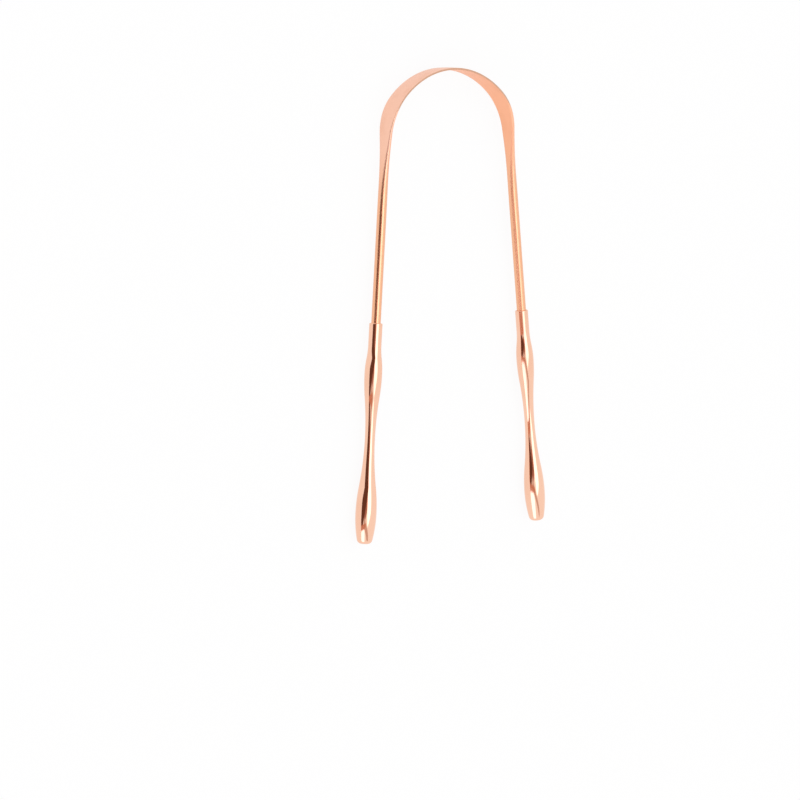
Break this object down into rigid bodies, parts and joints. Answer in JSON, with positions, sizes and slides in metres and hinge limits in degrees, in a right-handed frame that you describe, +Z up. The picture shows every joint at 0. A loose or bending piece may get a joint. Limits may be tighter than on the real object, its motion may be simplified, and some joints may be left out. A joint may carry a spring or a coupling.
{
  "type": "tongue scraper",
  "caption": "Copper tongue scraper: a U-shaped springy bow, rolled flat at its crown for scraping, with a turned and polished handle on each wire leg.",
  "frame": {"origin": "on the surface it lies on, under the middle of its outline", "axes": "+Y from the handles towards the blade, +X to the right seen from above, +Z up, square to the plane of the U"},
  "size_m": [0.079, 0.1486, 0.0073],
  "materials": {
    "bow_copper": "satin copper",
    "handle_copper": "mirror polished rose copper",
    "adhesive": "cured resin"
  },
  "bodies": {
    "crown": {"blade_crown": "bow_copper"},
    "left_side": {"left_arm": "bow_copper", "left_handle": "handle_copper", "left_bond": "adhesive"},
    "right_side": {"right_arm": "bow_copper", "right_handle": "handle_copper", "right_bond": "adhesive"}
  },
  "joints": [
    {"name": "left_flex", "type": "hinge", "parent": "crown", "child": "left_side", "pos_m": [-0.02012, 0.06601, 0.00365], "axis": [0, 0, 1], "range_deg": [-6, 9], "stiffness_Nm_per_rad": 1.25},
    {"name": "right_flex", "type": "hinge", "parent": "crown", "child": "right_side", "pos_m": [0.02012, 0.06601, 0.00365], "axis": [0, 0, -1], "range_deg": [-6, 9], "stiffness_Nm_per_rad": 1.25}
  ]
}
